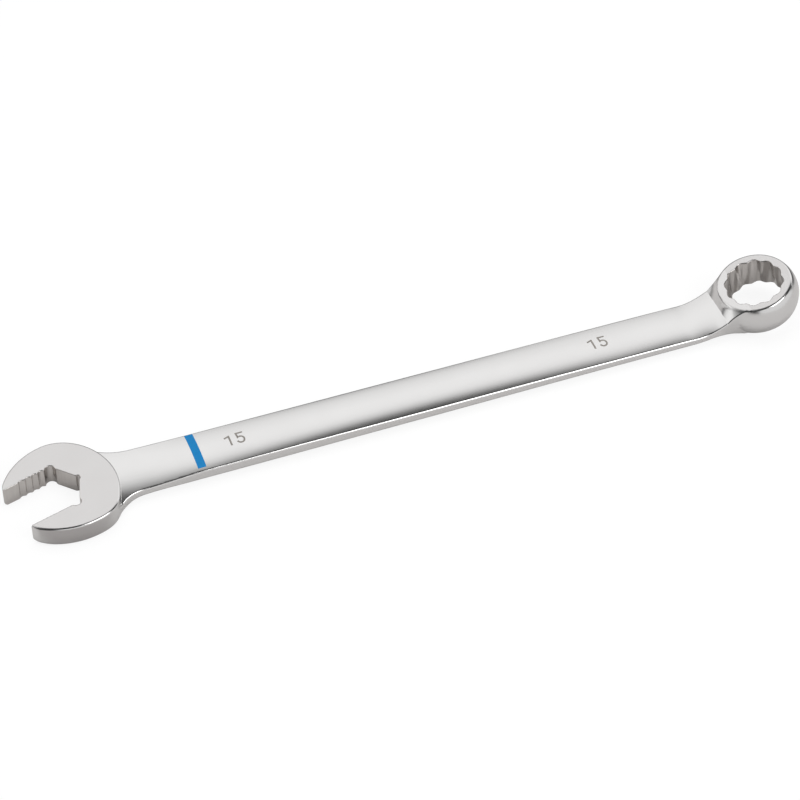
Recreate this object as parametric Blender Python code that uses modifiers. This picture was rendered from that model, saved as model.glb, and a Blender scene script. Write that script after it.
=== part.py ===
"""Combination wrench: one forging with an open end and a 12-point box end, both for a 15 mm nut.

The shank lies along X with the open end at -X, the tool lying on its open end and its ring.
While it is modelled, X = 0 is the middle of the open end and Z = 0 the middle plane of the shank.
"""

import math

import bmesh
import bpy
from mathutils import Matrix, Vector

MM = 0.001

# The nut that both ends turn
ACROSS_FLATS = 15.0 * MM
JAW_CLEARANCE = 0.2 * MM
SOCKET_CLEARANCE = 0.1 * MM

# Overall layout
CENTRE_DISTANCE = 204.6 * MM
JAW_ANGLE = math.radians(15.0)
RING_TILT = math.radians(15.0)
RING_RISE = 5.2 * MM

# Open end
HEAD_THICKNESS = 6.2 * MM
HEAD_WIDTH = 32.4 * MM
HEAD_BACK = 13.3 * MM
HEAD_EDGE_ROUND = 0.7 * MM
HEAD_FILLET = 8.0 * MM
CHEEK_RADIUS = 20.0 * MM
JAW_REACH = 15.75 * MM
TIP_ROUND = 1.3 * MM
NUT_FORWARD = 5.2 * MM
CORNER_RELIEF_RADIUS = 1.5 * MM
CORNER_RELIEF_DEPTH = 0.8 * MM
APEX_RELIEF_RADIUS = 0.7 * MM
GROOVE_COUNT = 4
GROOVE_PITCH = 2.0 * MM
GROOVE_RADIUS = 1.1 * MM
GROOVE_DEPTH = 0.4 * MM
GROOVE_FROM_TIP = 5.7 * MM

# Shank
SHANK_WIDTH = 14.8 * MM
SHANK_SIDE_AT_HEAD = 3.0 * MM
SHANK_SIDE_AT_RING = 2.2 * MM
SHANK_CROWN = 1.0 * MM
SHANK_EDGE_BREAK = 0.4 * MM
NECK_BEND_RADIUS = 25.0 * MM

# Box end
RING_HEIGHT = 10.1 * MM
RING_FACE_RADIUS = 10.4 * MM
RING_BARREL_RADIUS = 12.2 * MM
RING_EDGE_ROUND = 0.4 * MM
RING_FILLET = 8.0 * MM
SHOULDER_LENGTH = 9.0 * MM
UNDER_SHOULDER_LENGTH = 12.0 * MM
SHOULDER_DROP = 0.5 * MM
CREASE_FROM_FACE = 1.9 * MM
CREASE_RAMP = 2.6 * MM
SOCKET_POINTS = 12
SOCKET_TURN = math.radians(3.5)
SOCKET_TIP_FLAT = 0.35 * MM

# Markings let into the top of the shank
INLAY_DEPTH = 0.25 * MM
INLAY_CLEARANCE = 0.06 * MM
BAND_FROM_HEAD = 34.7 * MM
BAND_WIDTH = 2.2 * MM
BAND_FAR_MARGIN = 0.6 * MM
BAND_NEAR_MARGIN = 1.7 * MM
FIGURES = "15"
FIGURE_HEIGHT = 4.1 * MM
FIGURE_WIDTH = 2.5 * MM
FIGURE_STROKE = 0.45 * MM
FIGURE_SPACING = 3.35 * MM
FIGURES_FROM_HEAD = 47.0 * MM
FIGURES_FROM_RING = 49.6 * MM
FIGURES_OFF_MIDDLE = 0.4 * MM

# How finely round shapes are divided
CHEEK_STEPS = 14
BACK_STEPS = 40
TIP_STEPS = 5
EDGE_SEGMENTS = 3
RELIEF_SIDES = 32
RING_STEPS = 72
BARREL_STEPS = 8
CROWN_STEPS = 12
BOWL_STEPS = 10
STATION_STEP = 1.2 * MM
SHANK_BAYS = 6

# Values that follow from the sizes above
HEAD_HALF = HEAD_THICKNESS / 2
SHANK_HALF = SHANK_WIDTH / 2
JAW_HALF = (ACROSS_FLATS + JAW_CLEARANCE) / 2
SOCKET_FLAT = (ACROSS_FLATS + SOCKET_CLEARANCE) / 2
RING_HALF = RING_HEIGHT / 2
RING_FOOT = (
    (RING_HALF - RING_EDGE_ROUND) * math.cos(RING_TILT)
    + RING_FACE_RADIUS * math.sin(RING_TILT)
    + RING_EDGE_ROUND
)
BEND_AT = CENTRE_DISTANCE - RING_RISE / math.tan(RING_TILT)
BEND_TANGENT = NECK_BEND_RADIUS * math.tan(RING_TILT / 2)
BEND_START = BEND_AT - BEND_TANGENT
BEND_LENGTH = NECK_BEND_RADIUS * RING_TILT
RING_STATION = BEND_START + BEND_LENGTH + RING_RISE / math.sin(RING_TILT) - BEND_TANGENT
CUT_LENGTH = 3 * RING_HEIGHT
FOOT_DISTANCE = CENTRE_DISTANCE - RING_FACE_RADIUS - HEAD_BACK
REST_TILT = math.atan2(RING_RISE - RING_FOOT + HEAD_HALF, FOOT_DISTANCE)

JAW_FRAME = Matrix.Rotation(JAW_ANGLE, 4, "Z")
RING_FRAME = Matrix.Translation((CENTRE_DISTANCE, 0, RING_RISE)) @ Matrix.Rotation(-RING_TILT, 4, "Y")


def start_scene():
    """Empty the scene and make one collection for the parts and one for the cutters."""
    for item in list(bpy.data.objects):
        bpy.data.objects.remove(item, do_unlink=True)
    groups = []
    for name in ("combination_wrench", "wrench_cutters"):
        group = bpy.data.collections.new(name)
        bpy.context.scene.collection.children.link(group)
        groups.append(group)
    return groups


def make_material(name, colour, roughness, metallic):
    material = bpy.data.materials.new(name)
    material.use_nodes = True
    shader = material.node_tree.nodes["Principled BSDF"]
    shader.inputs["Base Color"].default_value = (*colour, 1.0)
    shader.inputs["Roughness"].default_value = roughness
    shader.inputs["Metallic"].default_value = metallic
    return material


def add_object(name, data, group, matrix=None):
    item = bpy.data.objects.new(name, data)
    group.objects.link(item)
    item.matrix_world = matrix or Matrix.Identity(4)
    return item


def add_bmesh(name, bm, group, matrix=None):
    mesh = bpy.data.meshes.new(name)
    bm.to_mesh(mesh)
    bm.free()
    return add_object(name, mesh, group, matrix)


def as_mesh(item, group):
    """Turn an object with curves or modifiers into a plain welded mesh in the same place."""
    bpy.context.view_layer.update()
    mesh = bpy.data.meshes.new_from_object(item.evaluated_get(bpy.context.evaluated_depsgraph_get()))
    bm = bmesh.new()
    bm.from_mesh(mesh)
    bmesh.ops.remove_doubles(bm, verts=bm.verts, dist=0.0001 * MM)
    bm.to_mesh(mesh)
    bm.free()
    name = item.name
    matrix = item.matrix_world.copy()
    bpy.data.objects.remove(item, do_unlink=True)
    mesh.name = name
    return add_object(name, mesh, group, matrix)


def flat_outline(name, points, half_thickness, group, matrix=None):
    """A flat plate with a straight-sided outline, as thick on each side of its plane as is given."""
    curve = bpy.data.curves.new(name, "CURVE")
    curve.dimensions = "2D"
    curve.fill_mode = "BOTH"
    curve.extrude = half_thickness
    spline = curve.splines.new("POLY")
    spline.points.add(len(points) - 1)
    for point, (x, y) in zip(spline.points, points):
        point.co = (x, y, 0, 1)
    spline.use_cyclic_u = True
    return as_mesh(add_object(name, curve, group, matrix), group)


def cylinder(name, radius, centre, group, frame):
    """A round cutter along Z of its frame, long enough to pass through either end."""
    bm = bmesh.new()
    bmesh.ops.create_cone(
        bm, cap_ends=True, segments=RELIEF_SIDES, radius1=radius, radius2=radius, depth=CUT_LENGTH
    )
    return add_bmesh(name, bm, group, frame @ Matrix.Translation((*centre, 0)))


def arc(centre, radius, start, end, steps):
    """Points on an arc, both ends included, with angles in radians."""
    angles = [start + (end - start) * i / steps for i in range(steps + 1)]
    return [(centre[0] + radius * math.cos(a), centre[1] + radius * math.sin(a)) for a in angles]


def smooth(value):
    """A soft step from 0 to 1."""
    value = min(max(value, 0.0), 1.0)
    return value * value * (3 - 2 * value)


# Open end

def head_side():
    """One cheek of the open end, from the jaw tip round to the middle of the back, along +Y of the jaw."""
    half = HEAD_WIDTH / 2
    cheek = (0.0, half - CHEEK_RADIUS)
    tip_x = TIP_ROUND - JAW_REACH
    tip_gap = CHEEK_RADIUS - TIP_ROUND
    tip_y = cheek[1] + math.sqrt(tip_gap**2 - tip_x**2)
    leave = math.atan2(tip_y - cheek[1], tip_x)
    points = arc((tip_x, tip_y), TIP_ROUND, math.pi, leave, TIP_STEPS)
    points += arc(cheek, CHEEK_RADIUS, leave, math.pi / 2, CHEEK_STEPS)[1:]
    for i in range(1, BACK_STEPS + 1):
        angle = math.pi / 2 * i / BACK_STEPS
        points.append((HEAD_BACK * math.sin(angle), half * math.cos(angle)))
    return points


def head_outline():
    side = head_side()
    return side + [(x, -y) for x, y in reversed(side[:-1])]


def open_end_blank(group):
    """The open end before its gap is cut: a flat plate with rounded edges."""
    head = flat_outline("open_end_blank", head_outline(), HEAD_HALF, group, JAW_FRAME)
    bevel = head.modifiers.new("rounded_edges", "BEVEL")
    bevel.width = HEAD_EDGE_ROUND
    bevel.segments = EDGE_SEGMENTS
    bevel.limit_method = "ANGLE"
    bevel.angle_limit = math.radians(60)
    return as_mesh(head, group)


def cut_jaw_gap(group):
    """Cutters for the gap: a hexagon's throat, its corner and apex reliefs, and grooves in one jaw."""
    nut = -NUT_FORWARD
    corner = nut + JAW_HALF * math.tan(math.pi / 6)
    apex = nut + JAW_HALF / math.cos(math.pi / 6)
    mouth = -2 * JAW_REACH
    throat = [(mouth, -JAW_HALF), (corner, -JAW_HALF), (apex, 0), (corner, JAW_HALF), (mouth, JAW_HALF)]
    cutters = [flat_outline("jaw_gap", throat, CUT_LENGTH / 2, group, JAW_FRAME)]
    relief_y = JAW_HALF + CORNER_RELIEF_DEPTH - CORNER_RELIEF_RADIUS
    relief_x = corner - CORNER_RELIEF_RADIUS / 2
    for side in (-1, 1):
        centre = (relief_x, side * relief_y)
        cutters.append(cylinder("corner_relief", CORNER_RELIEF_RADIUS, centre, group, JAW_FRAME))
    centre = (apex - APEX_RELIEF_RADIUS, 0)
    cutters.append(cylinder("apex_relief", APEX_RELIEF_RADIUS, centre, group, JAW_FRAME))
    groove_y = JAW_HALF + GROOVE_DEPTH - GROOVE_RADIUS
    for i in range(GROOVE_COUNT):
        centre = (GROOVE_FROM_TIP + i * GROOVE_PITCH - JAW_REACH, groove_y)
        cutters.append(cylinder("jaw_groove", GROOVE_RADIUS, centre, group, JAW_FRAME))
    return cutters


# Box end

def box_end_blank(group):
    """The ring before its socket is cut: a barrel turned about its own axis."""
    face = RING_FACE_RADIUS
    corner_z = RING_HALF - RING_EDGE_ROUND
    edge = face + RING_EDGE_ROUND
    bulge = RING_BARREL_RADIUS - edge
    profile = [(0, RING_HALF)]
    profile += arc((face, corner_z), RING_EDGE_ROUND, math.pi / 2, 0, EDGE_SEGMENTS)
    for i in range(1, BARREL_STEPS):
        z = corner_z * (1 - 2 * i / BARREL_STEPS)
        profile.append((edge + bulge * (1 - (z / corner_z) ** 2), z))
    profile += arc((face, -corner_z), RING_EDGE_ROUND, 0, -math.pi / 2, EDGE_SEGMENTS)
    profile.append((0, -RING_HALF))
    bm = bmesh.new()
    verts = [bm.verts.new((x, 0, z)) for x, z in profile]
    for a, b in zip(verts, verts[1:]):
        bm.edges.new((a, b))
    ring = add_bmesh("box_end_blank", bm, group, RING_FRAME)
    screw = ring.modifiers.new("turned", "SCREW")
    screw.angle = 2 * math.pi
    screw.steps = RING_STEPS
    screw.render_steps = RING_STEPS
    screw.use_merge_vertices = True
    screw.merge_threshold = 0.01 * MM
    return as_mesh(ring, group)


def cut_socket(group):
    """The 12-point socket: two hexagons a twelfth of a turn apart, with blunted points."""
    step = 2 * math.pi / SOCKET_POINTS
    ridge = SOCKET_FLAT / math.cos(step / 2)
    point = SOCKET_FLAT / math.cos(step) - SOCKET_TIP_FLAT / 2
    blunt = math.atan2(SOCKET_TIP_FLAT / 2, point)
    points = []
    for i in range(SOCKET_POINTS):
        angle = SOCKET_TURN + i * step
        points += [(point * math.cos(angle + a), point * math.sin(angle + a)) for a in (-blunt, blunt)]
        points.append((ridge * math.cos(angle + step / 2), ridge * math.sin(angle + step / 2)))
    return flat_outline("socket", points, CUT_LENGTH / 2, group, RING_FRAME)


# Shank

def spine(station):
    """Place and slope of the shank's middle line, which bends up once towards the ring."""
    if station <= BEND_START:
        return station, 0.0, 0.0
    turn = min((station - BEND_START) / NECK_BEND_RADIUS, RING_TILT)
    x = BEND_START + NECK_BEND_RADIUS * math.sin(turn)
    z = NECK_BEND_RADIUS * (1 - math.cos(turn))
    beyond = max(station - BEND_START - BEND_LENGTH, 0.0)
    return x + beyond * math.cos(turn), z + beyond * math.sin(turn), turn


def head_fillet(side):
    """Where the fillet on one side leaves the shank's edge, and where it reaches the open end's outline."""
    outline = [JAW_FRAME @ Vector((x, y, 0)) for x, y in head_outline()]
    low, high = 0.0, CENTRE_DISTANCE / 2
    for _ in range(40):
        start = (low + high) / 2
        centre = Vector((start, side * (SHANK_HALF + HEAD_FILLET), 0))
        nearest = min(outline, key=lambda point: (point - centre).length)
        if (nearest - centre).length < HEAD_FILLET:
            low = start
        else:
            high = start
    return start, nearest.x


def flare(distance, radius):
    """How far a fillet has moved off its straight side at a distance along it."""
    distance = min(max(distance, 0.0), 0.95 * radius)
    return radius - math.sqrt(radius**2 - distance**2)


class Bar:
    """The shank's section anywhere along it, with the fillets into both ends."""

    def __init__(self):
        self.head = {side: head_fillet(side) for side in (-1, 1)}
        edge = RING_FACE_RADIUS + RING_EDGE_ROUND
        reach = edge + RING_FILLET
        fillet_at = math.sqrt(reach**2 - (SHANK_HALF + RING_FILLET) ** 2)
        self.ring_start = RING_STATION - fillet_at
        self.ring_end = RING_STATION - fillet_at * edge / reach
        self.shoulder_start = self.ring_end - max(SHOULDER_LENGTH, UNDER_SHOULDER_LENGTH)
        self.crease = RING_STATION - RING_FACE_RADIUS - CREASE_FROM_FACE

    def half_width(self, station, side):
        start, end = self.head[side]
        width = SHANK_HALF + flare(start - max(station, end), HEAD_FILLET)
        return width + flare(min(station, self.ring_end) - self.ring_start, RING_FILLET)

    def side_height(self, station):
        along = smooth(station / RING_STATION)
        return (SHANK_SIDE_AT_HEAD * (1 - along) + SHANK_SIDE_AT_RING * along) / 2

    def shoulder(self, station, up):
        length = SHOULDER_LENGTH if up else UNDER_SHOULDER_LENGTH
        return smooth((station - self.ring_end + length) / length)

    def edge_height(self, station, side, up):
        """Height of the side's edge above (or depth below) the middle line."""
        start, end = self.head[side]
        height = self.side_height(station)
        into_head = smooth((start - station) / (start - end))
        height += (HEAD_HALF - HEAD_EDGE_ROUND / 2 - height) * into_head
        return height + max(RING_HALF - SHOULDER_DROP - height, 0.0) * self.shoulder(station, up)

    def crown_height(self, station, up):
        """Height of the middle of the crown over the middle line."""
        height = self.side_height(station) + SHANK_CROWN
        into_head = max(smooth((start - station) / (start - end)) for start, end in self.head.values())
        height += (HEAD_HALF - HEAD_EDGE_ROUND / 4 - height) * into_head
        ramp = self.shoulder(station, up)
        if up:
            ramp = min(max((station - self.crease) / CREASE_RAMP, 0.0), 1.0)
        return height + max(RING_HALF - SHOULDER_DROP / 3 - height, 0.0) * ramp

    def face(self, station, up):
        """Points across the crowned top (or bottom) from the -Y side to the +Y side."""
        near, far = self.half_width(station, -1), self.half_width(station, 1)
        edges = self.edge_height(station, -1, up), self.edge_height(station, 1, up)
        rise = self.crown_height(station, up) - (edges[0] + edges[1]) / 2
        low, high = SHANK_EDGE_BREAK - near, far - SHANK_EDGE_BREAK
        points = []
        for i in range(CROWN_STEPS + 1):
            across = i / CROWN_STEPS
            base = edges[0] + (edges[1] - edges[0]) * across
            z = base + rise * (1 - (2 * across - 1) ** 2)
            points.append((low + (high - low) * across, z if up else -z))
        return points

    def section(self, station):
        """The closed section, anticlockwise seen from the ring."""
        points = list(reversed(self.face(station, True)))
        for side, up in ((-1, True), (-1, False)):
            points.append(self.wall_point(station, side, up))
        points += self.face(station, False)
        for side, up in ((1, False), (1, True)):
            points.append(self.wall_point(station, side, up))
        return points

    def wall_point(self, station, side, up):
        z = self.edge_height(station, side, up) - SHANK_EDGE_BREAK
        return side * self.half_width(station, side), z if up else -z

    def stations(self):
        """Close together in the fillets and the bend, and wide apart along the straight."""
        first = HEAD_BACK / 4
        head_end = max(start for start, _ in self.head.values())
        neck = min(self.ring_start, self.shoulder_start, BEND_START)
        places = spread(first, head_end, round((head_end - first) / STATION_STEP))
        places += spread(head_end, neck, SHANK_BAYS)[1:]
        last = RING_STATION - RING_FACE_RADIUS / 2
        return places + spread(neck, last, round((last - neck) / STATION_STEP))[1:]


def spread(start, end, count):
    return [start + (end - start) * i / count for i in range(count + 1)]


def section_frame(station):
    x, z, turn = spine(station)
    return Matrix.Translation((x, 0, z)) @ Matrix.Rotation(-turn, 4, "Y")


def shank(bar, name, group):
    """The shank as a loft through its sections, running on into both ends."""
    bm = bmesh.new()
    loops = []
    for station in bar.stations():
        frame = section_frame(station)
        loops.append([bm.verts.new(frame @ Vector((0, y, z))) for y, z in bar.section(station)])
    for loop, following in zip(loops, loops[1:]):
        for i, vert in enumerate(loop):
            after = (i + 1) % len(loop)
            bm.faces.new((vert, loop[after], following[after], following[i]))
    bm.faces.new(reversed(loops[0]))
    bm.faces.new(loops[-1])
    bmesh.ops.recalc_face_normals(bm, faces=bm.faces)
    return add_bmesh(name, bm, group)


# Markings

def band_profile(bar, station, grow, above):
    """Outline of the colour band's section across the crown, grown all round by a clearance."""
    top = bar.face(station, True)
    near = BAND_NEAR_MARGIN - SHANK_HALF - grow
    far = SHANK_HALF - BAND_FAR_MARGIN + grow
    ys = spread(near, far, CROWN_STEPS)
    heights = [crown_at(top, y) for y in ys]
    upper = [(y, z + above) for y, z in zip(ys, heights)]
    lower = [(y, z - INLAY_DEPTH - grow) for y, z in zip(ys, heights)]
    return upper + list(reversed(lower))


def crown_at(face, y):
    """Height of a crowned face at a place across it."""
    for (y0, z0), (y1, z1) in zip(face, face[1:]):
        if y0 <= y <= y1:
            return z0 + (z1 - z0) * (y - y0) / (y1 - y0)
    return face[0][1] if y < face[0][0] else face[-1][1]


def band_solid(bar, name, grow, above, group):
    """A strip of the crown, cut across the shank."""
    bm = bmesh.new()
    ends = []
    for x in (BAND_FROM_HEAD - grow, BAND_FROM_HEAD + BAND_WIDTH + grow):
        profile = band_profile(bar, x, grow, above)
        ends.append([bm.verts.new((x, y, z)) for y, z in profile])
    count = len(ends[0])
    for i in range(count):
        after = (i + 1) % count
        bm.faces.new((ends[0][i], ends[0][after], ends[1][after], ends[1][i]))
    for i in range(count // 2 - 1):
        j = count - 1 - i
        for end in ends:
            bm.faces.new((end[i], end[i + 1], end[j - 1], end[j]))
    bmesh.ops.recalc_face_normals(bm, faces=bm.faces)
    return add_bmesh(name, bm, group)


def figure_path(figure):
    """The pen's path for a figure, from its top, as shares of its width and height."""
    if figure == "1":
        return [(0.16, 0.78), (0.72, 0.9), (0.72, 0.0)]
    middle, spread_x, spread_y = (0.5, 0.31), 0.5, 0.31
    bowl = arc((0, 0), 1.0, math.radians(127), math.radians(-150), BOWL_STEPS)
    bowl = [(middle[0] + spread_x * x, middle[1] + spread_y * y) for x, y in bowl]
    return [(0.96, 1.0), (0.15, 1.0)] + bowl


def stroke_outline(path, half):
    """Outline of a stroke along a path, with mitred corners and square ends drawn out by its half width."""
    points = [Vector(point) for point in path]
    heads = [(b - a).normalized() for a, b in zip(points, points[1:])]
    points[0] = points[0] - heads[0] * half
    points[-1] = points[-1] + heads[-1] * half
    left, right = [], []
    for i, point in enumerate(points):
        before, after = heads[max(i - 1, 0)], heads[min(i, len(heads) - 1)]
        across = Vector((-before.y - after.y, before.x + after.x)).normalized()
        mitre = across * (half / across.dot(Vector((-before.y, before.x))))
        left.append(tuple(point + mitre))
        right.append(tuple(point - mitre))
    return left + list(reversed(right))


def figure_solid(bar, name, figure, x, grow, above, group):
    """One figure of the size, let into the crown with its foot towards -Y."""
    stroke = FIGURE_STROKE / 2
    wide, tall = FIGURE_WIDTH - FIGURE_STROKE, FIGURE_HEIGHT - FIGURE_STROKE
    path = [((u - 0.5) * wide, (v - 0.5) * tall) for u, v in figure_path(figure)]
    depth = INLAY_DEPTH + grow
    z = bar.crown_height(x, True) + (above - depth) / 2
    place = Matrix.Translation((x, FIGURES_OFF_MIDDLE, z))
    return flat_outline(name, stroke_outline(path, stroke + grow), (depth + above) / 2, group, place)


def build():
    parts, cutters = start_scene()
    steel = make_material("satin_chrome", (0.62, 0.62, 0.61), 0.2, 1.0)
    blue = make_material("blue_enamel", (0.01, 0.21, 0.56), 0.35, 0.0)
    grey = make_material("etched_grey", (0.28, 0.27, 0.25), 0.6, 0.3)

    bar = Bar()
    forging = shank(bar, "wrench_forging", parts)
    joined = [open_end_blank(cutters), box_end_blank(cutters)]
    cut = cut_jaw_gap(cutters) + [cut_socket(cutters)]
    above = SHANK_CROWN
    cut.append(band_solid(bar, "band_recess", INLAY_CLEARANCE, above, cutters))
    marks = [(band_solid(bar, "colour_band", 0.0, 0.0, parts), blue)]
    centres = {"open_end": FIGURES_FROM_HEAD, "box_end": CENTRE_DISTANCE - FIGURES_FROM_RING}
    for end, centre in centres.items():
        for i, figure in enumerate(FIGURES):
            x = centre + (i - (len(FIGURES) - 1) / 2) * FIGURE_SPACING
            name = f"size_figure_{figure}_{end}"
            marks.append((figure_solid(bar, name, figure, x, 0.0, 0.0, parts), grey))
            cut.append(figure_solid(bar, f"{name}_recess", figure, x, INLAY_CLEARANCE, above, cutters))

    for tool, operation in [(t, "UNION") for t in joined] + [(t, "DIFFERENCE") for t in cut]:
        boolean = forging.modifiers.new(tool.name, "BOOLEAN")
        boolean.operation = operation
        boolean.solver = "EXACT"
        boolean.object = tool
        tool.hide_render = True
        tool.display_type = "WIRE"
    forging.data.materials.append(steel)
    for mark, material in marks:
        mark.data.materials.append(material)

    datum = add_object("wrench_datum", None, parts)
    datum.rotation_euler = (0, REST_TILT, 0)
    for item in list(parts.objects) + list(cutters.objects):
        if item is not datum:
            item.parent = datum
    bpy.context.view_layer.update()
    shape = forging.evaluated_get(bpy.context.evaluated_depsgraph_get())
    points = [shape.matrix_world @ vert.co for vert in shape.data.vertices]
    middle = [(min(p[axis] for p in points) + max(p[axis] for p in points)) / 2 for axis in (0, 1)]
    datum.location = (-middle[0], -middle[1], -min(p.z for p in points))


build()
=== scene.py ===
"""Combination wrench in bright chrome, lying on a pale floor in a white studio."""

import math

import bpy
import numpy as np
from mathutils import Matrix, Vector


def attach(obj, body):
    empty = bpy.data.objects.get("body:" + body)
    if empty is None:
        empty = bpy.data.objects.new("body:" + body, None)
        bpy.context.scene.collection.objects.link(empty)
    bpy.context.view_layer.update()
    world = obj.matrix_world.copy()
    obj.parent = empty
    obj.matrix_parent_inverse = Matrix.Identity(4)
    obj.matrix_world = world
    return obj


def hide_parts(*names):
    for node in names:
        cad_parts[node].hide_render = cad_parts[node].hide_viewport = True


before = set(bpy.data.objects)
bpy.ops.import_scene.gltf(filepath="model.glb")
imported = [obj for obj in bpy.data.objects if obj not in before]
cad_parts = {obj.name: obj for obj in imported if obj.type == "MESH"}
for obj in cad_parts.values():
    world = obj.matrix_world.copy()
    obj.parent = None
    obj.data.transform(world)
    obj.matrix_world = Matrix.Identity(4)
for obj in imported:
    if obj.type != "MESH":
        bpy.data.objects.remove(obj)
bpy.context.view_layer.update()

MM = 0.001

# How the wrench lies: its own frame has X = 0 in the open end and Z = 0 in the middle of the shank
REST_TILT = math.radians(0.22701)
SET_DOWN = (-99.656, 0.1547, 3.1534)
REST_TURN = Matrix.Rotation(REST_TILT, 4, "Y")
LAID = Matrix.Translation(Vector(SET_DOWN) * MM) @ REST_TURN @ Matrix.Scale(MM, 4)

# Sizes of the forging, in millimetres
JAW_ANGLE = math.radians(15)
JAW_HALF = 7.6
HEAD_HALF = 3.1
HEAD_WIDTH = 32.3
HEAD_BACK = 13.25
CHEEK_RADIUS = 20.1
JAW_REACH = 16.05
TIP_ROUND = 1.7
HEAD_FILLET = {-1: 10.0, 1: 15.0}
HEAD_LOBE = (2.48, -8.53, 7.2)
LOBE_EASE = 1.0
HEAD_TOP_ROUND = 0.7
HEAD_UNDER_ROUND = 0.7
TIP_EXTRA_ROUND = 0.7
TIP_START = -12
TIP_LENGTH = 4
BAR_INTO_HEAD = 1.0

# The gap between the jaws; a relief is (back from its corner, aside, radius)
NUT_FORWARD = 5.2
CORNER_RELIEF = (0.75, 0.7, 1.5)
CORNER_EASE = 0.25
APEX_RELIEF = (0.4, 0.25, 0.75)
APEX_EASE = 0.2
FIRST_GROOVE = -10.05
GROOVE_PITCH = 2.0
GROOVES = [FIRST_GROOVE + GROOVE_PITCH * i for i in range(4)]
GROOVE_RADIUS = 1.1
GROOVE_INSET = 0.7
GROOVE_EASE = 0.15
JAW_EDGE_ROUND = 0.15

CENTRE_DISTANCE = 204.6
RING_TILT = math.radians(15)
RING_RISE = 5.2
RING_HALF = 5.03
RING_FACE = 10.4
RING_BARREL = 12.18
RING_ROUND = 0.4
RING_EDGE = RING_FACE + RING_ROUND
RING_FILLET = 16.0
SOCKET_FLAT = 7.55
SOCKET_TURN = math.radians(3.5)
SOCKET_POINT_ROUND = 0.7
SOCKET_RIDGE_EASE = 0.1
SOCKET_BEVEL = 0.8
SOCKET_EDGE_ROUND = 0.25

SHANK_HALF = 7.4
EDGE_ROUND = 0.45
BEND_RADIUS = 25.0
CREASE_FROM_RING = 12.25
FACET_END = 10.45
FACET_HOLLOW = 0.15
FACET_STEEP = 1.6
BELLY = 1
HEAD_JOIN_EASE = 0.25
RING_JOIN_EASE = 0.2

BEND_START = CENTRE_DISTANCE - RING_RISE / math.tan(RING_TILT) - BEND_RADIUS * math.tan(RING_TILT / 2)
BEND_LENGTH = BEND_RADIUS * RING_TILT
BEND_END = (
    BEND_START + BEND_RADIUS * math.sin(RING_TILT),
    BEND_RADIUS * (1 - math.cos(RING_TILT)),
)
RING_STATION = BEND_START + BEND_LENGTH + (CENTRE_DISTANCE - BEND_END[0]) / math.cos(RING_TILT)

# Heights over the shank's middle line, as (distance along it, height):
# its two edges, the bulge between them and the underside
NECK_EDGE = (
    (45, 1.45), (100, 1.3), (160, 1.1), (180, 0.95), (187, 0.85), (190, 1.2), (193, 1.85), (200, 2.0),
)
EDGE_LINE = {
    -1: ((9, 0.6), (14, 0.55), (20, 0.5), (25, 0.75), (34, 1.35), *NECK_EDGE),
    1: ((9, 2.0), (15, 1.85), (24, 1.65), (34, 1.5), *NECK_EDGE),
}
BULGE_LINE = (
    (9, 0.65), (14, 0.65), (20, 0.65), (34, 0.9), (45, 1.0), (160, 1.0), (187, 0.85), (193, 0.6),
)
UNDER_LINE = (
    (9, 2.7), (13, 2.55), (16, 2.0), (20, 1.6), (32, 1.5), (45, 1.5), (100, 1.3), (178, 1.1),
    (185.5, 1.15), (188, 1.3), (190.4, 1.8), (192.8, 2.6), (195.1, 3.6), (197, 4.4),
)


# Shapes as distances: below zero inside, in millimetres


def round_max(a, b, radius):
    """Where both hold, with the edge between them rounded."""
    a, b = a + radius, b + radius
    return np.minimum(np.maximum(a, b), 0) + np.hypot(np.maximum(a, 0), np.maximum(b, 0)) - radius


def soft_min(a, b, reach):
    """Where either holds, with a fillet between them."""
    near = np.maximum(reach - np.abs(a - b), 0) / reach
    return np.minimum(a, b) - near * near * reach / 4


def ease(value):
    value = np.clip(value, 0, 1)
    return value * value * (3 - 2 * value)


def through(points, at):
    """A smooth line through points."""
    px, py = np.array(points).T
    slopes = np.gradient(py, px)
    i = np.clip(np.searchsorted(px, at) - 1, 0, len(px) - 2)
    step = px[i + 1] - px[i]
    t = np.clip((at - px[i]) / step, 0, 1)
    start = (1 - t) ** 2 * ((1 + 2 * t) * py[i] + t * step * slopes[i])
    return start + t**2 * ((3 - 2 * t) * py[i + 1] + (t - 1) * step * slopes[i + 1])


def into_jaw(x, y):
    c, s = math.cos(JAW_ANGLE), math.sin(JAW_ANGLE)
    return x * c + y * s, y * c - x * s


def into_ring(x, z):
    c, s = math.cos(RING_TILT), math.sin(RING_TILT)
    x, z = x - CENTRE_DISTANCE, z - RING_RISE
    return x * c + z * s, z * c - x * s


def head_plan(x, y):
    """Outline of the open end, seen from above in the jaw's frame."""
    lobe = np.hypot(x - HEAD_LOBE[0], y - HEAD_LOBE[1]) - HEAD_LOBE[2]
    y = np.abs(y)
    half = HEAD_WIDTH / 2
    cheek = np.hypot(x, y - half + CHEEK_RADIUS) - CHEEK_RADIUS
    back_x = np.maximum(x, 0) / HEAD_BACK
    reach = np.hypot(back_x, y / half) + 1e-9
    slope = np.hypot(back_x / HEAD_BACK, y / half**2) + 1e-9
    back = reach * (reach - 1) / slope
    disc = soft_min(np.where(x < 0, cheek, back), lobe, LOBE_EASE)
    return round_max(disc, -x - JAW_REACH, TIP_ROUND)


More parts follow.
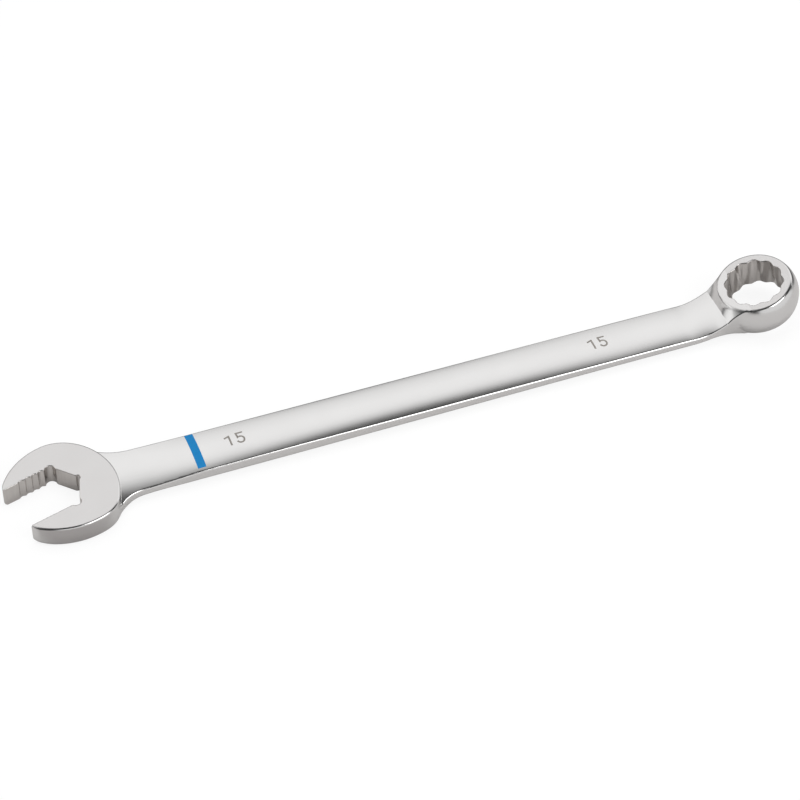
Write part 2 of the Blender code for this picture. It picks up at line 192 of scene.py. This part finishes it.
def jaw_gap(x, y):
    """The gap between the jaws, with its corner reliefs and the grooves in one jaw."""
    side = np.abs(y)
    across = x + NUT_FORWARD
    c, s = math.cos(math.pi / 6), math.sin(math.pi / 6)
    throat = np.maximum(side - JAW_HALF, across * c + side * s - JAW_HALF)
    corner = JAW_HALF * math.tan(math.pi / 6) - NUT_FORWARD
    apex = JAW_HALF / c - NUT_FORWARD
    back, aside, radius = CORNER_RELIEF
    relief = np.hypot(x - corner + back, side - JAW_HALF + aside) - radius
    gap = soft_min(throat, relief, CORNER_EASE)
    back, aside, radius = APEX_RELIEF
    gap = soft_min(gap, np.hypot(x - apex + back, y - aside) - radius, APEX_EASE)
    for groove in GROOVES:
        hollow = np.hypot(x - groove, y - JAW_HALF + GROOVE_INSET) - GROOVE_RADIUS
        gap = soft_min(gap, hollow, GROOVE_EASE)
    return gap


def open_end(x, y, z):
    """The head without its gap, rounder below toward the tips."""
    jaw = into_jaw(x, y)
    under = HEAD_UNDER_ROUND + TIP_EXTRA_ROUND * ease((TIP_START - jaw[0]) / TIP_LENGTH)
    rounding = np.where(z > 0, HEAD_TOP_ROUND, under)
    return round_max(head_plan(*jaw), np.abs(z) - HEAD_HALF, rounding)


def box_end(u, v, w):
    """The barrel of the ring, in its own frame."""
    corner = RING_HALF - RING_ROUND
    swell = RING_BARREL - RING_EDGE
    rise = np.minimum(np.abs(w) / corner, 1.2)
    steep = np.sqrt(1 + (2 * swell * rise / corner) ** 2)
    wall = (np.hypot(u, v) - RING_EDGE - swell * (1 - rise**2)) / steep
    return round_max(wall, np.abs(w) - RING_HALF, RING_ROUND)


def socket(u, v, w):
    """The 12-point hole: two hexagons a twelfth of a turn apart, with eased ridges and a bevel below."""
    step = math.pi / 6
    turn = np.arctan2(v, u) - SOCKET_TURN
    turn = np.abs(np.mod(turn + step / 2, step) - step / 2)
    out = np.hypot(u, v)
    along, aside = out * np.cos(turn), out * np.sin(turn)
    c, s = math.cos(step), math.sin(step)
    one, other = (along * c + turned - SOCKET_FLAT for turned in (aside * s, -aside * s))
    hole = soft_min(round_max(one, other, SOCKET_POINT_ROUND), along - SOCKET_FLAT, SOCKET_RIDGE_EASE)
    return hole - np.maximum(-w - RING_HALF + SOCKET_BEVEL, 0)


def fillet_ends(side):
    """Where the fillet on one side leaves the shank's edge, and where it meets the open end."""
    radius = HEAD_FILLET[side]
    low, high = 0.0, 60.0
    for _ in range(40):
        start = (low + high) / 2
        centre = into_jaw(start, side * (SHANK_HALF + radius))
        if head_plan(*centre) < radius:
            low = start
        else:
            high = start
    step = 0.01
    moves = ((step, 0), (0, step))
    slope = [(head_plan(centre[0] + dx, centre[1] + dy) - radius) / step for dx, dy in moves]
    c, s = math.cos(JAW_ANGLE), math.sin(JAW_ANGLE)
    return start, start - radius * float(slope[0] * c - slope[1] * s)


HEAD_FILLETS = {side: fillet_ends(side) for side in (-1, 1)}
FILLET_AT = math.sqrt((RING_EDGE + RING_FILLET) ** 2 - (SHANK_HALF + RING_FILLET) ** 2)
RING_FLARE = RING_STATION - FILLET_AT
RING_MEETS = RING_STATION - FILLET_AT * RING_EDGE / (RING_EDGE + RING_FILLET)


def flare(distance, radius):
    """How far a fillet stands out, by the distance from where it starts."""
    distance = np.clip(distance, 0, 0.95 * radius)
    return radius - np.sqrt(radius**2 - distance**2)


def along_shank(x, z):
    """Distance along the shank's middle line, which bends up once, and height over it."""
    turn = np.clip(np.arctan2(x - BEND_START, BEND_RADIUS - z), 0, RING_TILT)
    bent = BEND_RADIUS - np.hypot(x - BEND_START, BEND_RADIUS - z)
    c, s = math.cos(RING_TILT), math.sin(RING_TILT)
    dx, dz = x - BEND_END[0], z - BEND_END[1]
    beyond = turn >= RING_TILT
    before = x <= BEND_START
    straight = BEND_START + BEND_LENGTH + dx * c + dz * s
    station = np.where(beyond, straight, BEND_START + BEND_RADIUS * turn)
    height = np.where(beyond, dz * c - dx * s, bent)
    return np.where(before, x, station), np.where(before, z, height)


def side_width(station, side):
    """Half width of the shank on one side, with its fillets."""
    start, end = HEAD_FILLETS[side]
    width = SHANK_HALF + flare(start - np.maximum(station, end), HEAD_FILLET[side])
    return width + flare(np.minimum(station, RING_MEETS) - RING_FLARE, RING_FILLET)


def shank(x, y, z):
    """The crowned bar, with fillets into both ends and a facet up to the ring's face."""
    station, height = along_shank(x, z)
    width = np.where(y < 0, side_width(station, -1), side_width(station, 1))
    across = np.abs(y)
    near, far = through(EDGE_LINE[-1], station), through(EDGE_LINE[1], station)
    bulge = through(BULGE_LINE, station)
    share = np.clip(y / SHANK_HALF, -1.3, 1.3)
    top = (near + far) / 2 + share * (far - near) / 2 + bulge * (1 - share**2)
    steep = np.sqrt(1 + (((far - near) / 2 - 2 * bulge * share) / SHANK_HALF) ** 2)
    u = station - RING_STATION
    crease = CREASE_FROM_RING - np.sqrt(np.maximum(FACET_END**2 - across**2, 1.0))
    climb = np.clip((u + CREASE_FROM_RING) / crease, 0, 1)
    facet = top + (RING_HALF - top) * climb * (1 - FACET_HOLLOW + FACET_HOLLOW * climb)
    upper = (height - facet) / np.where(climb > 0, FACET_STEEP, steep)
    low = through(UNDER_LINE, station)
    lowest = np.where(station < CENTRE_DISTANCE / 2, HEAD_HALF - 0.2, RING_HALF - 0.1)
    deep = np.clip(lowest - low, 0, BELLY)
    belly = deep * (1 - np.minimum(across / width, 1.3) ** 2)
    under = (-height - low - belly) / np.sqrt(1 + (2 * deep * across / width**2) ** 2)
    bar = round_max(np.maximum(upper, under), across - width, EDGE_ROUND)
    begin = np.where(y < 0, HEAD_FILLETS[-1][1], HEAD_FILLETS[1][1])
    return np.maximum(bar, np.maximum(begin - station, station - RING_STATION + RING_FACE / 2))


def forging(x, y, z):
    """The whole wrench."""
    jaw = into_jaw(x, y)
    plan = head_plan(*jaw)
    bar = np.maximum(shank(x, y, z), -plan - BAR_INTO_HEAD)
    u, w = into_ring(x, z)
    body = soft_min(open_end(x, y, z), bar, HEAD_JOIN_EASE)
    body = soft_min(body, box_end(u, y, w), RING_JOIN_EASE)
    body = round_max(body, -jaw_gap(*jaw), JAW_EDGE_ROUND)
    return round_max(body, -socket(u, y, w), SOCKET_EDGE_ROUND)


def worked_faces(x, y, z):
    """1 on the faces of the jaw gap and the socket, which are cut and not polished."""
    u, w = into_ring(x, z)
    cut = np.minimum(np.abs(jaw_gap(*into_jaw(x, y))), np.abs(socket(u, y, w)))
    return 1 - ease(cut / 0.25)


def ground_faces(x, y, z):
    """1 on the flat faces of both ends, which are ground."""
    u, w = into_ring(x, z)
    head = np.where(head_plan(*into_jaw(x, y)) < 0, HEAD_HALF - np.abs(z), 1)
    ring = np.where(np.hypot(u, y) < RING_FACE + 0.2, RING_HALF - np.abs(w), 1)
    return 1 - ease(np.abs(np.minimum(head, ring)) / 0.12)


# Turning a distance into a mesh

FINE, COARSE = 0.27, 1.1
LONGEST_MOVE = 0.15

# Boxes that the body stays in: x from, x to, y from, y to, z from, z to
ZONES = (
    (-19, 26, -17, 17, -3.7, 3.7),
    (24, 180, -8.4, 8.4, -3.4, 3.4),
    (178, 219, -12.8, 12.8, -3.6, 13.8),
)


def add_object(name, data):
    """A new object in the scene, unturned at the origin."""
    made = bpy.data.objects.new(name, data)
    bpy.context.scene.collection.objects.link(made)
    return made


def places(*runs):
    """Grid lines in runs of (start, end, spacing at start, spacing at end)."""
    lines = [runs[0][0]]
    for start, end, first, last in runs:
        count = max(2, round((end - start) / ((first + last) / 2)))
        t = np.linspace(0, 1, count + 1)[1:]
        steps = first + (last - first) * (t - 0.5 / count)
        lines += list(start + (end - start) * np.cumsum(steps) / np.sum(steps))
    return np.array(lines)


def grid_values(xs, ys, zs):
    """The forging's distance on a grid, worked out only where the body can be."""
    values = np.full((len(xs), len(ys), len(zs)), 5.0)
    for x0, x1, y0, y1, z0, z1 in ZONES:
        i = np.flatnonzero((xs >= x0) & (xs <= x1))
        j = np.flatnonzero((ys >= y0) & (ys <= y1))
        k = np.flatnonzero((zs >= z0) & (zs <= z1))
        x, y, z = np.meshgrid(xs[i], ys[j], zs[k], indexing="ij")
        values[i[0]:i[-1] + 1, j[0]:j[-1] + 1, k[0]:k[-1] + 1] = forging(x, y, z)
    return values


def slope_at(points, step=0.02):
    """The way in which the forging's distance grows."""
    slopes = []
    for axis in range(3):
        ahead, behind = points.copy(), points.copy()
        ahead[:, axis] += step
        behind[:, axis] -= step
        slopes.append((forging(*ahead.T) - forging(*behind.T)) / (2 * step))
    return np.stack(slopes, 1)


def net_over(values, lines):
    """Points and quads of the surface where the values change sign, one point to a cell."""
    inside = values < 0
    shape = np.array(values.shape)
    edges = []
    for axis in range(3):
        low = [slice(None)] * 3
        high = [slice(None)] * 3
        low[axis], high[axis] = slice(None, -1), slice(1, None)
        crossing = np.argwhere(inside[tuple(low)] != inside[tuple(high)])
        ahead = crossing.copy()
        ahead[:, axis] += 1
        a, b = values[tuple(crossing.T)], values[tuple(ahead.T)]
        share = a / (a - b)
        point = np.stack([lines[n][crossing[:, n]] for n in range(3)], 1)
        point[:, axis] += share * (lines[axis][ahead[:, axis]] - point[:, axis])
        edges.append((axis, crossing, inside[tuple(crossing.T)], point))
    cell_ids, cell_points, quads = [], [], []
    for axis, crossing, starts_inside, point in edges:
        m, n = [(1, 2), (2, 0), (0, 1)][axis]
        ring = []
        for dm, dn in ((-1, -1), (0, -1), (0, 0), (-1, 0)):
            cell = crossing.copy()
            cell[:, m] += dm
            cell[:, n] += dn
            index = (cell[:, 0] * shape[1] + cell[:, 1]) * shape[2] + cell[:, 2]
            ring.append(index)
            cell_ids.append(index)
            cell_points.append(point)
        quad = np.stack(ring, 1)
        quads.append(np.where(starts_inside[:, None], quad, quad[:, ::-1]))
    ids, where = np.unique(np.concatenate(cell_ids), return_inverse=True)
    points = np.zeros((len(ids), 3))
    np.add.at(points, where, np.concatenate(cell_points))
    points /= np.bincount(where)[:, None]
    return points, np.searchsorted(ids, np.concatenate(quads))


def settle(points, rounds=4):
    """Points moved onto the surface, and the surface's direction there."""
    for _ in range(rounds):
        slope = slope_at(points)
        steep = np.maximum((slope**2).sum(1), 0.2)
        move = forging(*points.T)[:, None] * slope / steep[:, None]
        points = points - np.clip(move, -LONGEST_MOVE, LONGEST_MOVE)
    slope = slope_at(points)
    return points, slope / np.linalg.norm(slope, axis=1)[:, None]


def make_forging():
    """The wrench's body, with a fine mesh at both ends and a coarser one along the shank."""
    xs = places((-18.2, 27, FINE, FINE), (27, 34, FINE, COARSE), (34, 170, COARSE, COARSE),
                (170, 179, COARSE, FINE), (179, 217.5, FINE, FINE))
    ys = places((-16.8, 16.6, FINE, FINE))
    zs = places((-3.5, 13.4, FINE, FINE))
    points, quads = net_over(grid_values(xs, ys, zs), (xs, ys, zs))
    points, normals = settle(points)
    laid = np.array(LAID)
    mesh = bpy.data.meshes.new("wrench_body")
    mesh.from_pydata((points @ laid[:3, :3].T + laid[:3, 3]).tolist(), [], quads.tolist())
    mesh.validate()
    mesh.shade_smooth()
    turned = normals @ np.array(REST_TURN.to_3x3()).T
    mesh.normals_split_custom_set_from_vertices(turned.tolist())
    for name, faces in (("worked", worked_faces), ("ground", ground_faces)):
        attribute = mesh.attributes.new(name, "FLOAT", "POINT")
        attribute.data.foreach_set("value", faces(*points.T).astype(np.float32))
    return add_object("wrench_body", mesh)


# Finishes, with the two colours that each is mixed from

POLISHED = (0.77, 0.762, 0.756, 1), (0.80, 0.793, 0.788, 1)
GROUND = (0.665, 0.65, 0.645, 1), (0.70, 0.688, 0.683, 1)
CUT = (0.5, 0.475, 0.455, 1), (0.9, 0.87, 0.845, 1)
BLUE = (0.001, 0.165, 0.43, 1), (0.005, 0.215, 0.5, 1)
ETCHED = (0.21, 0.19, 0.175, 1), (0.31, 0.29, 0.265, 1)
# From where along x, in metres, the socket's cut faces get painted light and dark reflection bands
RING_FROM, RING_TO = 0.07, 0.09
BUMP_DEPTH = 0.00002


class Wire:
    """A shader socket that takes part in sums."""

    def __init__(self, finish, socket):
        self.finish, self.socket = finish, socket

    def sum(self, operation, a, b):
        return self.finish.node("ShaderNodeMath", {"operation": operation}, {0: a, 1: b})

    def __add__(self, other):
        return self.sum("ADD", self, other)

    def __sub__(self, other):
        return self.sum("SUBTRACT", self, other)

    def __rsub__(self, other):
        return self.sum("SUBTRACT", other, self)

    def __mul__(self, other):
        return self.sum("MULTIPLY", self, other)

    __radd__ = __add__
    __rmul__ = __mul__


class Finish:
    """A node tree and the one way that nodes are added to it."""

    def __init__(self, tree):
        self.tree = tree

    def node(self, kind, settings=None, inputs=None, output=0):
        node = self.tree.nodes.new(kind)
        for name, value in (settings or {}).items():
            if name == "stops":
                ramp = node.color_ramp
                while len(ramp.elements) < len(value):
                    ramp.elements.new(0.5)
                for element, (at, colour) in zip(ramp.elements, value):
                    element.position, element.color = at, colour
            else:
                setattr(node, name, value)
        for name, value in (inputs or {}).items():
            if isinstance(value, Wire):
                self.tree.links.new(value.socket, node.inputs[name])
            else:
                node.inputs[name].default_value = value
        return Wire(self, node.outputs[output]) if node.outputs else None

    def between(self, value, start, end):
        """0 up to the start, 1 from the end on, eased between them."""
        ranges = {"Value": value, 1: start, 2: end, 3: 0.0, 4: 1.0}
        return self.node("ShaderNodeMapRange", {"interpolation_type": "SMOOTHSTEP"}, ranges)

    def mix(self, amount, a, b):
        return self.node("ShaderNodeMix", {"data_type": "RGBA"}, {0: amount, 6: a, 7: b}, 2)

    def outputs(self, kind, names, inputs=None):
        """Several outputs of one new node."""
        sockets = self.node(kind, inputs=inputs).socket.node.outputs
        return [Wire(self, sockets[name]) for name in names]

    def split(self, vector):
        return self.outputs("ShaderNodeSeparateXYZ", "XYZ", {0: vector})

    def rays(self):
        """1 for what the camera sees, and 1 for what metal mirrors."""
        return self.outputs("ShaderNodeLightPath", ("Is Camera Ray", "Is Glossy Ray"))

    def bump(self, strength, height):
        inputs = {"Strength": strength, "Distance": BUMP_DEPTH, "Height": height}
        return self.node("ShaderNodeBump", inputs=inputs)


def new_finish(name):
    material = bpy.data.materials.new(name)
    material.use_nodes = True
    material.node_tree.nodes.clear()
    return material, Finish(material.node_tree)


def surface(finish, **inputs):
    named = {name.replace("_", " "): value for name, value in inputs.items()}
    shader = finish.node("ShaderNodeBsdfPrincipled", inputs=named)
    finish.node("ShaderNodeOutputMaterial", inputs={"Surface": shader})


def grain(finish, scale, stretch=(1, 1, 1), detail=2.0):
    """Noise over the object, with its scale in features per millimetre."""
    place = finish.node("ShaderNodeTexCoord", output=3)
    sized = tuple(1000 * scale * n for n in stretch)
    place = finish.node("ShaderNodeMapping", inputs={"Vector": place, "Scale": sized})
    return finish.node("ShaderNodeTexNoise", inputs={"Vector": place, "Scale": 1.0, "Detail": detail})


def chrome():
    material, finish = new_finish("bright_chrome")
    worked = finish.node("ShaderNodeAttribute", {"attribute_name": "worked"}, output=2)
    ground = finish.node("ShaderNodeAttribute", {"attribute_name": "ground"}, output=2)
    cloud = grain(finish, 0.12)
    satin = grain(finish, 1.5, (0.25, 1, 1), 4.0)
    scratch = grain(finish, 5.0, (0.04, 1, 1), 3.0)
    broach = grain(finish, 3.0, (1, 1, 0.05), 3.0)
    polish = finish.mix(cloud, *POLISHED)
    flat = finish.mix(cloud, *GROUND)
    along, _, _ = finish.split(finish.node("ShaderNodeTexCoord", output=3))
    at_ring = finish.between(along, RING_FROM, RING_TO)
    # Light and dark streaks down the socket walls: painted reflection bands, added to the broach grain's
    # real tone
    painted_socket_bands = finish.between(grain(finish, 0.55, (1, 1, 0.02), 1.0), 0.4, 0.6)
    cut = finish.mix(0.5 * broach + 0.25 + at_ring * (painted_socket_bands - 0.5), *CUT)
    colour = finish.mix(worked, finish.mix(ground, polish, flat), cut)
    rough = 0.14 + 0.07 * satin + 0.06 * ground + worked * (0.08 * broach - 0.06)
    height = 0.5 * satin + 0.3 * scratch + worked * broach
    surface(finish, Base_Color=colour, Metallic=1.0, Roughness=rough, Normal=finish.bump(0.12, height))
    return material


def blue_enamel():
    material, finish = new_finish("blue_enamel")
    cloud = grain(finish, 0.9, detail=4.0)
    surface(finish, Base_Color=finish.mix(cloud, *BLUE), Roughness=0.3 + 0.1 * cloud,
            Specular_IOR_Level=0.2, Normal=finish.bump(0.1, cloud))
    return material


def etched_grey():
    material, finish = new_finish("etched_grey")
    speck = grain(finish, 4.0, detail=3.0)
    surface(finish, Base_Color=finish.mix(speck, *ETCHED), Roughness=0.5 + 0.2 * speck, Metallic=0.2)
    return material


# Marks laid on the shank, in millimetres

MARK_DEPTH = 0.15
BAND_HEIGHT, FIGURE_HEIGHT = 0.03, 0.015
BAND_X, BAND_Y = (34.65, 37.0), (-6.1, 6.95)
FIGURE_WIDE, FIGURE_TALL, FIGURE_STROKE = 2.05, 3.65, 0.52
FIGURE_SPACING, FIGURE_OFF_MIDDLE = 3.35, 0.4
FIGURE_CENTRES = {"open_end": 47.0, "box_end": 155.0}
SHEET_HEIGHT = 6
PEN_STEP = 0.2


def laying_tree():
    """Lays a flat sheet on the body below it and gives it a thickness."""
    tree = bpy.data.node_groups.new("laid_on_shank", "GeometryNodeTree")
    inputs = (("Geometry", "Geometry"), ("Body", "Object"), ("Above", "Float"), ("Below", "Float"),
              ("Finish", "Material"))
    for name, kind in inputs:
        tree.interface.new_socket(name, in_out="INPUT", socket_type=f"NodeSocket{kind}")
    tree.interface.new_socket("Geometry", in_out="OUTPUT", socket_type="NodeSocketGeometry")

    def node(kind, settings=None, inputs=None):
        made = tree.nodes.new(kind)
        for name, value in (settings or {}).items():
            setattr(made, name, value)
        for name, value in (inputs or {}).items():
            if isinstance(value, bpy.types.NodeSocket):
                tree.links.new(value, made.inputs[name])
            else:
                made.inputs[name].default_value = value
        return made

    given = node("NodeGroupInput").outputs
    body = node("GeometryNodeObjectInfo", inputs={"Object": given["Body"]}).outputs["Geometry"]
    above = node("ShaderNodeVectorMath", {"operation": "ADD"},
                 {0: node("GeometryNodeInputPosition").outputs[0], 1: (0, 0, 0.03)}).outputs[0]
    found = node("GeometryNodeRaycast", inputs={
        "Target Geometry": body, "Source Position": above,
        "Ray Direction": (0, 0, -1), "Ray Length": 0.1})
    drop = node("ShaderNodeCombineXYZ", inputs={
        "Z": node("ShaderNodeMath", {"operation": "MULTIPLY"}, {0: given["Below"], 1: -1.0}).outputs[0]})
    low = node("ShaderNodeVectorMath", {"operation": "ADD"},
               {0: found.outputs["Hit Position"], 1: drop.outputs[0]}).outputs[0]
    sheet = node("GeometryNodeSetPosition", inputs={
        "Geometry": given["Geometry"], "Position": low}).outputs[0]
    thick = node("ShaderNodeMath", {"operation": "ADD"}, {0: given["Above"], 1: given["Below"]})
    lift = node("ShaderNodeCombineXYZ", inputs={"Z": thick.outputs[0]}).outputs[0]
    raised = node("GeometryNodeExtrudeMesh", inputs={
        "Mesh": sheet, "Offset": lift, "Offset Scale": 1.0, "Individual": False}).outputs["Mesh"]
    under = node("GeometryNodeFlipFaces", inputs={"Mesh": sheet}).outputs[0]
    joined = node("GeometryNodeJoinGeometry")
    tree.links.new(under, joined.inputs[0])
    tree.links.new(raised, joined.inputs[0])
    welded = node("GeometryNodeMergeByDistance",
                  inputs={"Geometry": joined.outputs[0], "Distance": 0.000002}).outputs[0]
    real = node("GeometryNodeRealizeInstances", inputs={"Geometry": welded}).outputs[0]
    coated = node("GeometryNodeSetMaterial", inputs={"Geometry": real, "Material": given["Finish"]})
    tree.links.new(coated.outputs[0], node("NodeGroupOutput").inputs[0])
    return tree


def lay_on(name, points, faces, body, tree, finish, above):
    """A mark from a flat sheet in millimetres, laid on the body and kept as a plain mesh."""
    mesh = bpy.data.meshes.new(name)
    mesh.from_pydata([LAID @ Vector((x, y, SHEET_HEIGHT)) for x, y in points], [], faces)
    flat = add_object(f"{name}_flat", mesh)
    modifier = flat.modifiers.new("laid", "NODES")
    modifier.node_group = tree
    values = {"Body": body, "Above": above * MM, "Below": MARK_DEPTH * MM, "Finish": finish}
    for item in tree.interface.items_tree:
        if item.in_out == "INPUT" and item.name in values:
            modifier[item.identifier] = values[item.name]
    bpy.context.view_layer.update()
    laid = flat.evaluated_get(bpy.context.evaluated_depsgraph_get())
    made = bpy.data.meshes.new_from_object(laid)
    made.name = name
    bpy.data.objects.remove(flat, do_unlink=True)
    return add_object(name, made)


def sheet_grid(x0, x1, y0, y1, columns, rows):
    """A flat sheet in columns and rows."""
    points = [(x0 + (x1 - x0) * i / columns, y0 + (y1 - y0) * j / rows)
              for j in range(rows + 1) for i in range(columns + 1)]
    faces = []
    for j in range(rows):
        for i in range(columns):
            a = j * (columns + 1) + i
            faces.append((a, a + 1, a + columns + 2, a + columns + 1))
    return points, faces


def pen_strip(path, half):
    """A strip along a pen's path, with mitred corners and square ends."""
    dense = []
    for a, b in zip(path, path[1:]):
        count = max(1, round(math.dist(a, b) / PEN_STEP))
        dense += [Vector(a).lerp(Vector(b), i / count) for i in range(count)]
    dense.append(Vector(path[-1]))
    heads = [(b - a).normalized() for a, b in zip(dense, dense[1:])]
    dense[0] = dense[0] - heads[0] * half
    dense[-1] = dense[-1] + heads[-1] * half
    points = []
    for i, point in enumerate(dense):
        before, after = heads[max(i - 1, 0)], heads[min(i, len(heads) - 1)]
        across = Vector((-before.y - after.y, before.x + after.x)).normalized()
        across *= half / across.dot(Vector((-before.y, before.x)))
        points += [tuple(point + across), tuple(point), tuple(point - across)]
    faces = []
    for i in range(len(dense) - 1):
        for j in (0, 1):
            a = 3 * i + j
            faces.append((a, a + 1, a + 4, a + 3))
    return points, faces


def figure_path(figure):
    """The pen's path for a 1 or a 5, about the figure's middle."""
    if figure == "1":
        shares = [(0.16, 0.78), (0.72, 0.9), (0.72, 0.0)]
    else:
        turns = [math.radians(127 - 277 * i / 24) for i in range(25)]
        shares = [(0.96, 1.0), (0.15, 1.0)]
        shares += [(0.5 + 0.5 * math.cos(t), 0.31 + 0.31 * math.sin(t)) for t in turns]
    return [((u - 0.5) * FIGURE_WIDE, (v - 0.5) * FIGURE_TALL) for u, v in shares]


def make_marks(body):
    """The band and the figures, by the node that each replaces."""
    tree = laying_tree()
    grey = etched_grey()
    marks = {}
    points, faces = sheet_grid(*BAND_X, *BAND_Y, 10, 50)
    marks["colour_band"] = lay_on("blue_band", points, faces, body, tree, blue_enamel(), BAND_HEIGHT)
    for end, centre in FIGURE_CENTRES.items():
        for i, figure in enumerate("15"):
            x = centre + (i - 0.5) * FIGURE_SPACING
            points, faces = pen_strip(figure_path(figure), FIGURE_STROKE / 2)
            points = [(x + px, FIGURE_OFF_MIDDLE + py) for px, py in points]
            name = f"figure_{figure}_{end}"
            marks[f"size_{name}"] = lay_on(name, points, faces, body, tree, grey, FIGURE_HEIGHT)
    return marks


# Studio

ROOM_LIGHT = 0.6
AHEAD_LIGHT = 0.75
LEFT_LIGHT = 0.75
BEHIND_LIGHT = 1.03
FLOOR_GLOW = 1.02
FLOOR_GLOW_SHARE = 0.85
FLOOR_DROP = 0.0002

# The floor's colour, and the painted shades, set by place, that only metal's reflections show of its
# parts
PALE = (0.86, 0.86, 0.86, 1)
FRONT_SHADE = (0.56, 0.55, 0.545, 1)
CHEEK_SHADE = (0.38, 0.365, 0.36, 1)
BACK_SHADE = (0.08, 0.08, 0.08, 1)
HEAD_SHADE = (0.5, 0.49, 0.485, 1)
NECK_SHADE = (0.58, 0.565, 0.56, 1)

# Brightness of the tent behind the wrench, by angle from straight up (0) back to the horizon (1)
TENT = (
    (0.0, 0.04), (0.13, 0.06), (0.178, 0.42), (0.211, 0.68), (0.252, 0.85), (0.289, 0.94), (0.36, 1.0),
    (0.5, 1.0), (0.69, 0.9), (0.8, 0.75), (0.89, 0.3), (0.95, 0.08),
)


def make_world():
    """White to the camera, even light on the wrench, and a tent in what metal mirrors."""
    world = bpy.data.worlds.new("white_studio")
    bpy.context.scene.world = world
    world.use_nodes = True
    world.node_tree.nodes.clear()
    finish = Finish(world.node_tree)
    x, y, z = finish.split(finish.node("ShaderNodeTexCoord"))
    seen, mirrored = finish.rays()
    lean = finish.node("ShaderNodeMath", {"operation": "ARCTAN2"}, {0: y, 1: z}) * (2 / math.pi)
    grey = [(at, (level, level, level, 1)) for at, level in TENT]
    behind = finish.node("ShaderNodeValToRGB", {"stops": grey}, {0: lean})
    left = finish.between(x, -0.25, -0.5)
    ahead = finish.between(lean, -0.5, -0.66) * (1 - left)
    beside = left * finish.between(y, -0.45, 0.3) * (LEFT_LIGHT - LEFT_LIGHT * behind)
    tent = BEHIND_LIGHT * behind + AHEAD_LIGHT * ahead + beside
    strength = ROOM_LIGHT * (1 - seen - mirrored) + seen + tent * mirrored
    light = finish.node("ShaderNodeBackground", inputs={"Color": (1, 1, 1, 1), "Strength": strength})
    finish.node("ShaderNodeOutputWorld", inputs={"Surface": light})


def make_floor():
    """A pale floor that keeps the wrench's shadow, with painted shades of its own that only metal's
    reflections show.
    """
    mesh = bpy.data.meshes.new("floor")
    mesh.from_pydata([(-3, -3, 0), (3, -3, 0), (3, 3, 0), (-3, 3, 0)], [], [(0, 1, 2, 3)])
    floor = add_object("floor", mesh)
    floor.location.z = -FLOOR_DROP
    material, finish = new_finish("pale_floor")
    seen, mirrored = finish.rays()
    x, y, _ = finish.split(finish.node("ShaderNodeNewGeometry"))
    # Painted reflections, set by place: the floor looks darker only to metal, darkest behind the wrench
    # and by the cheek, lighter by the neck and in front
    by_neck = finish.between(x, 0.03, 0.06) * finish.between(x, 0.1, 0.085)
    by_cheek = finish.between(x, -0.07, -0.1) * finish.between(y, -0.012, -0.018)
    front = finish.mix(by_cheek, FRONT_SHADE, CHEEK_SHADE)
    back = finish.mix(finish.between(x, -0.088, -0.1), BACK_SHADE, HEAD_SHADE)
    back = finish.mix(by_neck, back, NECK_SHADE)
    painted_mirror_shade = finish.mix(finish.between(y, 0.03, 0.012), back, front)
    matt = finish.node("ShaderNodeBsdfDiffuse", inputs={"Color": finish.mix(mirrored, PALE, painted_mirror_shade)})
    glow = finish.node("ShaderNodeEmission", inputs={"Color": (1, 1, 1, 1), "Strength": FLOOR_GLOW})
    mixed = finish.node("ShaderNodeMixShader", inputs={0: FLOOR_GLOW_SHARE * seen, 1: matt, 2: glow})
    finish.node("ShaderNodeOutputMaterial", inputs={"Surface": mixed})
    mesh.materials.append(material)


def add_softbox(name, place, size, power):
    """A soft lamp that faces the wrench."""
    light = bpy.data.lights.new(name, "AREA")
    light.shape = "RECTANGLE"
    light.size, light.size_y = size
    light.energy = power
    lamp = add_object(name, light)
    lamp.location = place
    lamp.rotation_euler = (-Vector(place)).to_track_quat("-Z", "Y").to_euler()
    return lamp


# The photo's angle: turns, then distance and centre in millimetres from the open end's middle
VIEW_TILT = math.radians(45.617)
VIEW_TURN = math.radians(20.604)
VIEW_ROLL = math.radians(0.05)
VIEW_DISTANCE = 700.0
VIEW_LENS = 116.97
VIEW_CENTRE = (89.198, 24.379)


def make_camera():
    right = Vector((math.cos(VIEW_TURN), -math.sin(VIEW_TURN), 0))
    deep = Vector((math.sin(VIEW_TURN), math.cos(VIEW_TURN), 0))
    back = Vector((0, 0, math.sin(VIEW_TILT))) - deep * math.cos(VIEW_TILT)
    up = deep * math.sin(VIEW_TILT) + Vector((0, 0, math.cos(VIEW_TILT)))
    c, s = math.cos(VIEW_ROLL), math.sin(VIEW_ROLL)
    right, up = right * c + up * s, up * c - right * s
    place = back * VIEW_DISTANCE + right * VIEW_CENTRE[0] + up * VIEW_CENTRE[1]
    turn = Matrix((right, up, back)).transposed().to_4x4()
    camera = add_object("camera", bpy.data.cameras.new("camera"))
    camera.data.sensor_width = 36
    camera.data.lens = VIEW_LENS
    camera.data.clip_start = 0.01
    camera.matrix_world = Matrix.Translation(LAID @ place) @ REST_TURN @ turn
    bpy.context.scene.camera = camera


def make_studio():
    make_world()
    make_floor()
    make_camera()
    add_softbox("front_softbox", (0.37, -0.52, 0.64), (0.55, 0.5), 2.6)
    overhead = add_softbox("overhead_softbox", (0.0, 0.3, 1.2), (1.2, 0.8), 6.0)
    overhead.visible_glossy = False
    bpy.context.scene.view_settings.view_transform = "Standard"


def main():
    body = make_forging()
    body.data.materials.append(chrome())
    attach(body, "root")
    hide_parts("wrench_forging")
    for node, mark in make_marks(body).items():
        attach(mark, "root")
        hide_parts(node)
    make_studio()


main()
